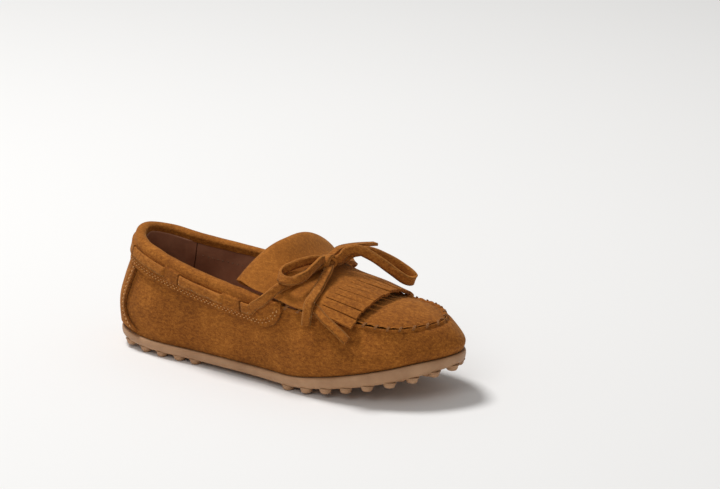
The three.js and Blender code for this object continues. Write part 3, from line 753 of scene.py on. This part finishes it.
def footbed():
    u, share = grid(np.linspace(0.0005, 0.4995, 140), np.linspace(0, 1, 40))
    lower = mix(edge_inset(u, 5.4), edge_inset(1 - u, 5.4), share[..., None])
    lower[..., 2] = bed_height(lower[..., 0]) + 2.7 * heel_share(lower) + 0.25
    upper = lower + [0, 0, 0.9]
    upper[..., 2] += 0.12 * ripple(upper, 17, 3)
    piece = slab("footbed", upper, lower, LINING_LOOK, bevel=0.2)
    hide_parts("sock_lining")


# Upper

def seam_phase(turn):
    """0 at each whip stitch of the apron's seam and 0.5 halfway between two."""
    return (np.abs(turn) - SEAM_FROM) / (0.5 - SEAM_FROM) * SEAM_STITCHES / 2


def turn_of(u):
    """The same place as a turn from the back of the heel, -0.5 to 0.5."""
    return np.mod(u + 0.5, 1) - 0.5


def wall_relief(u, v):
    """How far the side wall stands out: the gathered seam round the toes and soft unevenness."""
    turn = np.abs(turn_of(u))
    near_seam = smoothstep(turn, 0.27, 0.31)
    below = (1 - v) * WALL_LENGTH
    gather = np.cos(2 * math.pi * seam_phase(turn))
    ridge = 0.75 * np.exp(-((below - 0.4) / 1.5) ** 2) - 0.35 * np.exp(-((below - 3.4) / 1.5) ** 2)
    pucker = -0.42 * gather * np.exp(-below / 4.2) * smoothstep(below, 0, 1.2)
    soft = 0.32 * ripple(wall_face(u, v), 34, 11) * np.sin(math.pi * np.clip(v, 0, 1)) ** 0.6
    foot = -0.35 * np.exp(-(v * WALL_LENGTH / 1.2) ** 2)
    return near_seam * (ridge + pucker) + soft + foot


def side_wall():
    ring = np.arange(820) / 820
    u, v = grid(ring, np.concatenate([np.linspace(0, 0.86, 30), np.linspace(0.87, 1, 14)]))
    outer = wall_offset(u, v, wall_relief(u, v))
    inner = wall_offset(u, v, -SUEDE)
    below = (1 - v) * WALL_LENGTH
    turn = np.abs(turn_of(u))
    gather = np.cos(2 * math.pi * seam_phase(turn)) * np.exp(-below / 5)
    gather = gather * smoothstep(turn, 0.27, 0.31)
    # Painted shade at the foot of the wall by the sole and in the pucker hollows at each whip stitch, a
    # painted highlight along the top ridge by the seam, and faint random mottling.
    painted_light_and_mottle = (-0.28 * np.exp(-v * WALL_LENGTH / 1.8) - 0.16 * gather
            + 0.3 * np.exp(-below / 0.8) * smoothstep(turn, 0.28, 0.31)
            - 0.06 * smoothstep(ripple(outer, 26, 8), 0.2, 1))
    piece = slab("suede_side_wall", outer, inner, SUEDE_LOOK, ring=True, painted_light_and_mottle=painted_light_and_mottle, bevel=0.25)
    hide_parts("side_wall")


def wall_layer(name, turns, low, high, depth, node):
    """A lining between two heights of the wall, at a depth below its outer face."""
    turn, share = grid(np.linspace(*turns, 120), np.linspace(0, 1, 24))
    v = mix(low(turn), high(turn), share)
    outer = wall_offset(turn, v, depth(turn))
    inner = wall_offset(turn, v, depth(turn) - LINING + 0.12 * ripple(outer, 12, 21))
    piece = slab(name, inner, outer, LINING_LOOK, bevel=0.25)
    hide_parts(node)


def linings():
    def top(turn):
        return wall_at_drop(turn, COLLAR_FLAP - 0.4)

    def foot(turn):
        return 0.15 + 0 * turn

    def heel_depth(turn):
        beyond = smoothstep(np.abs(turn), 0.099, 0.112)
        return mix(-SUEDE - LINING - 2 * GAP, -SUEDE - GAP, beyond)

    def quarter_depth(turn):
        return -SUEDE - GAP + 0 * turn

    wall_layer("heel_lining_leather", (-0.1125, 0.1125), foot, top, heel_depth, "heel_lining")
    for side, node in ((1, "quarter_lining_outer"), (-1, "quarter_lining_inner")):
        wall_layer(node + "_leather", (side * 0.1134, side * 0.3), foot, top, quarter_depth, node)


def lining_stitches():
    """A stitch row inside each quarter."""
    runs = []
    for side in (-1, 1):
        def along(turn):
            return wall_offset(side * turn, wall_at_drop(side * turn, 9), -SUEDE - GAP - LINING - 0.05)

        def inward(turn):
            return -wall_normal(side * turn, wall_at_drop(side * turn, 9))

        runs.append(lock_run(along, inward, 0.12, 0.29, pitch=2.8, length=1.2, radius=0.24))
    piece = stitches("lining_stitching", runs, LINING_THREAD_LOOK)


def backstay_half(v):
    return 0.08 + 0.036 * np.maximum(0, 1 - v / 0.28) ** 2


def backstay():
    row, column = grid(np.linspace(-1, 1, 160), np.linspace(0, 1, 70))
    v = mix(0.05, wall_at_drop(0.08 * row, COLLAR_DROP + 0.6), column)
    turn = backstay_half(v) * row
    rim = np.exp(-((1 - np.abs(row)) / 0.07) ** 2)
    groove = np.exp(-((1 - np.abs(row) - 0.1) / 0.04) ** 2)
    outer = wall_offset(turn, v, GAP + 1.25 + 0.45 * rim - 0.3 * groove)
    outer += wall_normal(turn, v) * (0.16 * ripple(outer, 14, 31))[..., None]
    inner = wall_offset(turn, v, GAP + 0.02)
    # Painted shade along the backstay's raised edges.
    painted_light_and_mottle = -0.25 * rim + 0 * v
    piece = slab("suede_backstay", outer, inner, SUEDE_LOOK, painted_light_and_mottle=painted_light_and_mottle, bevel=0.3)
    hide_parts("heel_backstay")


def backstay_stitches():
    surface = GAP + 1.28
    runs = []
    for side in (-1, 1):
        def along(v):
            return wall_offset((backstay_half(v) - 0.0068) * side, v, surface)

        def outward(v):
            return wall_normal((backstay_half(v) - 0.0068) * side, v)

        runs.append(lock_run(along, outward, 0.07, 0.66, radius=0.34))
    piece = stitches("backstay_stitching", runs, THREAD_LOOK)
    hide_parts("backstay_thread")


# Collar and lace

def lace_hidden(turn, ramp):
    side = np.abs(turn)
    spans = [smoothstep(side - start, -ramp, ramp) * smoothstep(end - side, -ramp, ramp)
             for start, end in LACE_TUNNELS]
    return np.max(spans, axis=0)


def collar_height(turn, inset=0.0):
    """The collar's height at a turn; it rounds off towards its front ends."""
    end = COLLAR_END - inset / SOLE_PERIMETER
    along = (np.abs(turn) - end + COLLAR_ROUNDING) / COLLAR_ROUNDING
    return COLLAR_DROP * np.maximum(0.25, np.sqrt(1 - np.clip(along, 0, 1) ** 2)) - inset


def collar_relief(turn, drop):
    """How far the collar stands out: tunnels over the hidden lace and padding at the top."""
    band = smoothstep(drop, 2.2, 3.3) * smoothstep(-drop, -9.8, -8.7)
    lips = sum(np.exp(-((np.abs(turn) - edge) / 0.0022) ** 2)
               for tunnel in LACE_TUNNELS for edge in tunnel if edge > 0)
    puffed = 0.35 * np.exp(-((drop - 1.4) / 1.6) ** 2)
    edge_dip = -0.22 * np.exp(-((drop - collar_height(turn, 1.9)) / 0.8) ** 2)
    return TUNNEL_RISE * band * lace_hidden(turn, 0.0011) + 0.25 * band * lips + puffed + edge_dip


def collar():
    rise = np.linspace(1, 0, 46)
    bend = np.linspace(0, math.pi, 13)[1:-1]
    flap = np.linspace(0, 1, 12)
    turns = np.linspace(-COLLAR_END, COLLAR_END, 1500)

    def band(extra, relief):
        turn, share = grid(turns, rise)
        drop = share * collar_height(turn)
        outside = wall_offset(turn, wall_at_drop(turn, drop), GAP + extra + relief(turn, drop))
        turn, angle = grid(turns, bend)
        puff = relief(turn, 0 * turn)
        reach = np.cos(angle) * (SUEDE / 2 + GAP + extra + puff * (angle < math.pi / 2)) - SUEDE / 2
        over = wall_offset(turn, 1.0, reach) + wall_up(turn) * (np.sin(angle) * (GAP + extra))[..., None]
        turn, share = grid(turns, flap)
        v = wall_at_drop(turn, share * np.minimum(COLLAR_FLAP, collar_height(turn)))
        inside = wall_offset(turn, v, -SUEDE - GAP - extra)
        return np.concatenate([outside, over, inside], axis=1)

    outer = band(SUEDE, collar_relief)
    inner = band(0.0, lambda turn, drop: np.maximum(0, collar_relief(turn, drop) - 0.35))
    outer += unit(outer - inner) * (0.1 * ripple(outer, 9, 41))[..., None]
    turn, share = grid(turns, rise)
    drop = share * collar_height(turn)
    # Painted shade in the slots where the lace goes in and out of its tunnels.
    slot_shade = sum(np.exp(-((np.abs(turn) - edge) / 0.0016) ** 2)
               for tunnel in LACE_TUNNELS for edge in tunnel if edge > 0)
    slot_shade = slot_shade * smoothstep(drop, 2.6, 3.4) * smoothstep(-drop, -9.4, -8.6)
    painted_light_and_mottle = np.zeros(outer.shape[:2])
    # Painted shade in the slots and along the collar's lower edge against the wall.
    painted_light_and_mottle[:, :len(rise)] = -0.35 * slot_shade - 0.12 * np.exp(-((share - 1) / 0.05) ** 2)
    # Painted highlight over the collar's turned-over top.
    painted_light_and_mottle[:, len(rise):len(rise) + len(bend)] = 0.18
    piece = slab("suede_collar", outer, inner, SUEDE_LOOK, painted_light_and_mottle=painted_light_and_mottle, bevel=0.25)
    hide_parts("collar")


def collar_stitches():
    runs = []
    for inset in (1.5, 2.6):
        def place(turn):
            drop = collar_height(turn, inset)
            return wall_offset(turn, wall_at_drop(turn, drop), GAP + SUEDE - 0.12)

        def outward(turn):
            return wall_normal(turn, wall_at_drop(turn, collar_height(turn, inset)))

        reach = COLLAR_END - inset / SOLE_PERIMETER - 0.0008
        runs.append(lock_run(place, outward, -reach, reach, radius=0.31, length=1.45))
    piece = stitches("collar_stitching", runs, THREAD_LOOK)
    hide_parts("collar_thread")


def lace_on_collar(turn):
    v = wall_at_drop(turn, LACE_DROP)
    outside = GAP + SUEDE + 0.45 + LACE_THICKNESS / 2
    hidden = lace_hidden(turn, 0.0042)
    depth = mix(outside, GAP + LACE_THICKNESS / 2, hidden)
    return wall_offset(turn, v, depth), unit(wall_face(turn, v + 0.03) - wall_face(turn, v - 0.03))


def lace():
    turns = np.linspace(-0.256, 0.256, 900)
    points, across = lace_on_collar(turns)

    def lead(end, stations):
        route, width = strap_route([(*points[end], *across[end])] + stations)
        return route[1:], width[1:]

    outer, outer_across = lead(-1, OUTER_LEAD)
    inner, inner_across = (part[::-1] for part in lead(0, INNER_LEAD))
    piece = strap("suede_lace", np.concatenate([inner, points, outer]),
                  np.concatenate([inner_across, across, outer_across]), LACE_LOOK, "shoe")
    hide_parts("lace")


# Apron and its seam

def apron():
    row, share = grid(np.linspace(0, 1, 150), np.linspace(0, 1, 110))
    share = 0.5 - 0.5 * np.cos(math.pi * share)
    u = mix(0.4975, 0.309, row)

    def rim(u):
        return wall_face(u, 1.0) + wall_up(u) * 0.12

    outer, inner = rim(u), rim(1 - u)
    top = mix(outer, inner, share[..., None])
    crown = 4.3 * np.sin(np.minimum(1, row * 1.7) * math.pi / 2)
    top[..., 2] += crown * (1 - (2 * share - 1) ** 2)
    across = np.linalg.norm(outer - inner, axis=-1)
    from_side = np.minimum(share, 1 - share) * across
    from_tip = row * 80
    from_rim = np.minimum(from_side, from_tip + 0.6)
    gather = np.cos(2 * math.pi * seam_phase(u))
    roll = 0.85 * np.exp(-((from_rim - 0.5) / 1.3) ** 2) - 0.4 * np.exp(-((from_rim - 3.1) / 1.4) ** 2)
    pinch = -0.34 * gather * np.exp(-from_rim / 3.4)
    top[..., 2] += roll + pinch + 0.3 * ripple(top, 24, 51) * smoothstep(from_rim, 0, 6)
    rim_normal = mix(wall_normal(u, 1.0), wall_normal(1 - u, 1.0), share[..., None])
    up = mix(rim_normal, np.array([0.0, 0, 1]), smoothstep(from_rim, 0, 3)[..., None])
    lower = top - unit(up) * SUEDE
    # Painted highlight along the apron's rolled rim and painted shade in the pinches at each whip stitch.
    painted_light_and_mottle = 0.35 * np.exp(-from_rim / 0.7) - 0.14 * gather * np.exp(-from_rim / 4)
    piece = slab("suede_apron", top, lower, SUEDE_LOOK, painted_light_and_mottle=painted_light_and_mottle, bevel=0.25)
    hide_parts("apron")


def seam_stitches():
    """Whip stitches over the ridge, each a pair of threads slanting across it."""
    step = (0.5 - SEAM_FROM) * 2 / SEAM_STITCHES
    turns = SEAM_FROM + step * (np.arange(SEAM_STITCHES) + 0.02)
    runs = []
    for lead, radius, height in ((-0.0009, 0.33, 0.2), (0.0009, 0.36, 0.38)):
        u = turns + lead
        slant = 0.0042 * np.sign(0.5 - u)
        below = wall_offset(u - slant, 0.93, 0.35)
        beyond = wall_face(u + slant, 1.0) + wall_up(u + slant) * 1.6 + [0, 0, 0.45]
        normal = unit(wall_normal(u, 1.0) + [0, 0, 0.4])
        runs.append(stitch_mesh(below, beyond, normal, radius, height))
    piece = stitches("apron_whip_stitching", runs, SEAM_LOOK)
    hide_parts("apron_seam_thread")


# Kiltie and fringe

centre_line = curve_through(KILTIE_CENTRE)
outer_line = curve_through(KILTIE_OUTER_EDGE)
inner_line = curve_through(KILTIE_INNER_EDGE)
KILTIE_SPANS = len(KILTIE_CENTRE) - 1
FRINGE_SPANS = 2


def kiltie_middle(span, across):
    """A point of the sheet halfway through its thickness; across runs from -1 to 1."""
    place = span / KILTIE_SPANS
    centre = centre_line(place)
    edge = np.where((across < 0)[..., None], outer_line(place), inner_line(place))
    share = np.abs(across)
    return np.stack([
        mix(centre[..., 0], edge[..., 0], share ** 2),
        edge[..., 1] * share,
        mix(centre[..., 2], edge[..., 2], share ** 2.7),
    ], axis=-1)


def kiltie_normal(span, across):
    sideways = (kiltie_middle(span, np.minimum(1, across + 0.01))
                - kiltie_middle(span, np.maximum(-1, across - 0.01)))
    backward = (kiltie_middle(np.minimum(KILTIE_SPANS, span + 0.1), across)
                - kiltie_middle(np.maximum(0, span - 0.1), across))
    normal = unit(np.cross(sideways, backward))
    tip_middle = normal[0, normal.shape[1] // 2]
    return -normal if tip_middle[2] < 0 else normal


def fringe_columns():
    """Across positions, strand by strand, and which steps between them are slits."""
    width = (2 - (STRANDS - 1) * SLIT_WIDTH / KILTIE_HALF_WIDTH) / STRANDS
    places, slits, start = [], [], -1.0
    for _ in range(STRANDS):
        places += list(start + width * np.linspace(0, 1, STRAND_POINTS))
        slits += [False] * (STRAND_POINTS - 1) + [True]
        start += width + SLIT_WIDTH / KILTIE_HALF_WIDTH
    return np.array(places), np.array(slits[:-1])


def kiltie():
    draw = np.random.default_rng(7)
    places, slits = fringe_columns()
    spans = np.concatenate([np.linspace(0, 2, 64), np.linspace(2, KILTIE_SPANS, 190)[1:]])
    span, across = grid(spans, places)
    strand = np.repeat(np.arange(STRANDS), STRAND_POINTS)
    free = np.maximum(0, (FRINGE_SPANS - span) / FRINGE_SPANS)
    length = draw.uniform(-0.05, 0.05, STRANDS)[strand] * free
    middle = kiltie_middle(span + length, across)
    normal = kiltie_normal(span, across)
    lifts = draw.uniform(-0.3, 0.7, STRANDS)
    lifts[-2:] = -0.4
    lift = lifts[strand] * free ** 1.7
    twist = draw.uniform(-0.5, 0.5, STRANDS)[strand] * free ** 1.5
    local = np.tile(np.linspace(-1, 1, STRAND_POINTS), STRANDS)
    sway = draw.uniform(-0.22, 0.22, STRANDS)[strand] * free ** 1.5
    relief = 0.16 * ripple(middle, 15, 61) + lift + twist * local - 0.12 * local ** 2 * (free > 0)
    middle = middle + normal * relief[..., None]
    middle[..., 1] += sway
    outer, inner = middle + normal * KILTIE_THICKNESS / 2, middle - normal * KILTIE_THICKNESS / 2
    roots = np.repeat(draw.uniform(1.72, 1.98, STRANDS), STRAND_POINTS)[:-1]
    row_middle = (spans[:-1] + spans[1:]) / 2
    mask = ~(slits[None, :] & (row_middle[:, None] < roots[None, :]))
    rim = 1 - np.abs(across)
    # Painted light: highlights along the kiltie's side edges and over its upper slope up to the crest,
    # painted shade on the lower layer under the fold, and highlights along each fringe strand's cut edges.
    painted_light_and_mottle = 0.35 * np.exp(-rim / 0.012) + 0.45 * smoothstep(span, 1, 3) * (span < 6.5)
    painted_light_and_mottle -= 0.1 * smoothstep(span, 7.2, 8.4)
    painted_light_and_mottle += 0.18 * (np.abs(local) > 0.9) * (free > 0)
    piece = slab("suede_kiltie", outer, inner, SUEDE_LOOK, body=None, mask=mask, painted_light_and_mottle=painted_light_and_mottle, bevel=0.2)
    strand_points, strand_across = strap_route(SPLAYED_STRAND)
    splayed = strap("splayed_strand", strand_points, strand_across, SUEDE_LOOK, None,
                    width=4.6, thickness=KILTIE_THICKNESS)
    with bpy.context.temp_override(active_object=piece, selected_editable_objects=[piece, splayed]):
        bpy.ops.object.join()
    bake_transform(piece)
    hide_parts("kiltie", "kiltie_fringe")


# Bow

def knot():
    """The lump under the knot and the turn of lace wrapped over it."""
    sides, rows = 72, 34
    angle, height = grid(np.linspace(0, 2 * math.pi, sides, endpoint=False),
                         np.linspace(0.04, math.pi - 0.04, rows))
    ball = np.stack([np.sin(height) * np.cos(angle), np.sin(height) * np.sin(angle), np.cos(height)],
                    axis=-1)
    ball = KNOT + ball * KNOT_RADII
    ball += unit(ball - KNOT) * (0.5 * ripple(ball, 6, 71))[..., None]
    vertices = np.swapaxes(ball, 0, 1).reshape(-1, 3)
    faces = turned_out(vertices, tube_faces(rows, sides))
    # Painted shade over the whole lump under the wraps; the wraps get painted highlights along their
    # edges.
    painted_light_and_mottle = [np.full(len(vertices), -0.25)]
    for tilt, girth, width in ((0.25, 1.0, 6.0), (-0.75, 0.86, 4.6)):
        turn = np.linspace(0, 2 * math.pi, 90)[:-1]
        side, up = 4.9 * girth * np.sin(turn), 3.05 * girth * np.cos(turn)
        slide = 0.5 * np.sin(turn + 0.6)
        points = KNOT + np.stack([
            slide * math.cos(tilt) - side * math.sin(tilt),
            side * math.cos(tilt) + slide * math.sin(tilt), up], axis=-1)
        across = np.broadcast_to([math.cos(tilt), math.sin(tilt), 0.06], points.shape)
        wrap, wrap_edge_highlight = strap_mesh(points, across, width=width)
        rows, sides = wrap.shape[:2]
        last = (rows - 1) * sides
        ring = tube_faces(rows, sides)[:-2]
        ring += [[last + i, last + (i + 1) % sides, (i + 1) % sides, i] for i in range(sides)]
        wrap = wrap.reshape(-1, 3)
        start = len(vertices)
        faces += [[start + i for i in face] for face in turned_out(wrap - KNOT, ring)]
        vertices = np.concatenate([vertices, wrap])
        painted_light_and_mottle.append(wrap_edge_highlight.ravel())
    piece = add_piece("suede_knot", vertices, faces, LACE_LOOK, "shoe", np.concatenate(painted_light_and_mottle))
    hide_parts("bow_knot")


def bow_part(name, stations, node, body, width=LACE_WIDTH):
    """A loop or a hanging end of the lace, on the body that it lifts with."""
    points, across = strap_route(stations)
    piece = strap(name, points, across, LACE_LOOK, body, width=width)
    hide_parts(node)


def bow():
    knot()
    bow_part("suede_loop_outer", OUTER_LOOP, "bow_loop_outer", "outer_loop", 4.6)
    bow_part("suede_loop_inner", INNER_LOOP, "bow_loop_inner", "inner_loop")
    bow_part("suede_tail_outer", OUTER_TAIL, "bow_tail_outer", "outer_tail")
    bow_part("suede_tail_inner", INNER_TAIL, "bow_tail_inner", "inner_tail")


def hidden_parts():
    for node, material in (("insole_board", BOARD_LOOK), ("heel_counter", BOARD_LOOK),
                           ("heel_cushion", FOAM_LOOK)):
        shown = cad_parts[node]
        shown.data.materials.clear()
        shown.data.materials.append(material)


# Stage, lights and camera

def aim(thing, place, target):
    thing.location = place
    thing.rotation_euler = (Vector(target) - Vector(place)).to_track_quat("-Z", "Y").to_euler()


def area_light(name, place, size, power, target=(0, 0, 0.02)):
    light = bpy.data.lights.new(name, "AREA")
    light.shape = "DISK"
    light.size = size
    light.energy = power
    lamp = bpy.data.objects.new(name, light)
    bpy.context.scene.collection.objects.link(lamp)
    aim(lamp, place, target)


def stage():
    half = 30.0
    mesh = bpy.data.meshes.new("floor")
    corners = [(-half, -half, 0), (half, -half, 0), (half, half, 0), (-half, half, 0)]
    mesh.from_pydata(corners, [], [(0, 1, 2, 3)])
    mesh.materials.append(floor_material())
    floor = bpy.data.objects.new("floor", mesh)
    bpy.context.scene.collection.objects.link(floor)
    world = bpy.data.worlds.new("studio")
    world.use_nodes = True
    background = world.node_tree.nodes["Background"]
    background.inputs["Color"].default_value = (1.0, 0.997, 0.99, 1)
    background.inputs["Strength"].default_value = 0.3
    bpy.context.scene.world = world
    area_light("key", (-0.8, 0.0, 1.85), 0.6, 30)
    area_light("fill", (0.2, -1.9, 1.7), 1.3, 11)
    bpy.context.scene.view_settings.view_transform = "Standard"


def camera():
    azimuth, elevation, distance = math.radians(32), math.radians(19.5), 1.4
    target = Vector(frame_point(100, 0, 0))
    back = Vector((math.sin(azimuth) * math.cos(elevation), -math.cos(azimuth) * math.cos(elevation),
                   math.sin(elevation)))
    lens = bpy.data.cameras.new("camera")
    lens.sensor_width = 36
    lens.lens = 137.9
    lens.shift_x = (360 - 294.5) / 720
    lens.shift_y = (366.3 - 244.5) / 720
    lens.clip_end = 100
    view = bpy.data.objects.new("camera", lens)
    bpy.context.scene.collection.objects.link(view)
    aim(view, target + back * distance, target)
    bpy.context.scene.camera = view


camera()
stage()
sole()
footbed()
hidden_parts()
side_wall()
linings()
lining_stitches()
backstay()
backstay_stitches()
collar()
collar_stitches()
lace()
apron()
seam_stitches()
kiltie()
bow()
